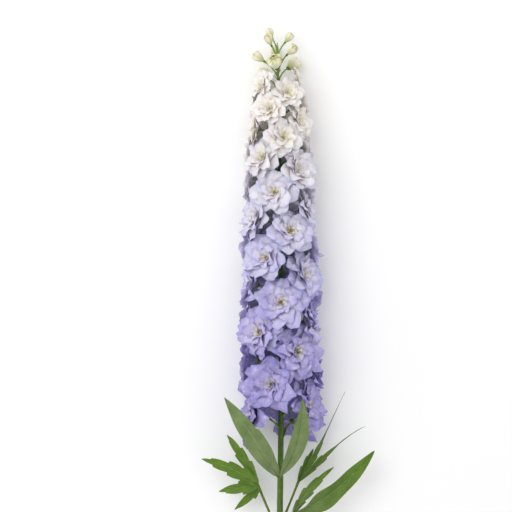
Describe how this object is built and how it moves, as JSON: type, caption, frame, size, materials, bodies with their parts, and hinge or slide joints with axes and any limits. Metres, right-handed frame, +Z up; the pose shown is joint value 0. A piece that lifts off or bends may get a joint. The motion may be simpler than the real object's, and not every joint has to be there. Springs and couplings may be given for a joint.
{
  "type": "delphinium flower spike",
  "caption": "Cut delphinium spike lying down: double florets on stalks round an arched stem, lavender at the base to white at the top, buds at the tip, divided leaves low on the stem.",
  "frame": {"origin": "middle of the spike's length and width, on the surface that it lies on", "axes": "+Y along the stem from its cut end to the bud tip, +Z up"},
  "size_m": [0.262, 0.9928, 0.1141],
  "materials": {
    "petal_lavender": "matte",
    "petal_lilac": "matte",
    "petal_white": "matte",
    "bud_cream": "satin",
    "stem_green": "satin",
    "leaf_green": "satin",
    "leaf_grey": "matte"
  },
  "bodies": {
    "root": {"floret_01": "petal_lavender", "floret_02": "petal_lavender", "floret_03": "petal_lavender", "floret_04": "petal_lavender", "floret_05": "petal_lavender", "floret_06": "petal_lavender", "floret_07": "petal_lavender", "floret_08": "petal_lavender", "floret_09": "petal_lavender", "floret_10": "petal_lavender", "floret_11": "petal_lavender", "floret_12": "petal_lavender", "floret_13": "petal_lavender", "floret_14": "petal_lavender", "floret_15": "petal_lavender", "floret_16": "petal_lavender", "floret_17": "petal_lilac", "floret_18": "petal_lilac", "floret_19": "petal_lilac", "floret_20": "petal_lilac", "floret_21": "petal_lilac", "floret_22": "petal_lilac", "floret_23": "petal_lilac", "floret_24": "petal_lilac", "floret_25": "petal_lilac", "floret_26": "petal_lilac", "floret_27": "petal_lilac", "floret_28": "petal_lilac", "floret_29": "petal_white", "floret_30": "petal_white", "floret_31": "petal_white", "floret_32": "petal_white", "floret_33": "petal_white", "floret_34": "petal_white", "floret_35": "petal_white", "floret_36": "petal_white", "floret_37": "petal_white", "floret_38": "petal_white", "floret_39": "petal_white", "floret_40": "petal_white", "floret_41": "petal_white", "floret_42": "petal_white", "floret_43": "petal_white", "floret_44": "petal_white", "floret_45": "petal_white", "bell_01": "bud_cream", "bell_02": "bud_cream", "bell_03": "bud_cream", "bud_01": "bud_cream", "bud_02": "bud_cream", "bud_03": "bud_cream", "bud_04": "bud_cream", "bud_05": "bud_cream", "bud_06": "bud_cream", "stem": "stem_green", "leaf_front": "leaf_grey", "leaf_right": "leaf_green", "leaf_left": "leaf_green", "leaf_wisp": "leaf_green"}
  },
  "joints": []
}
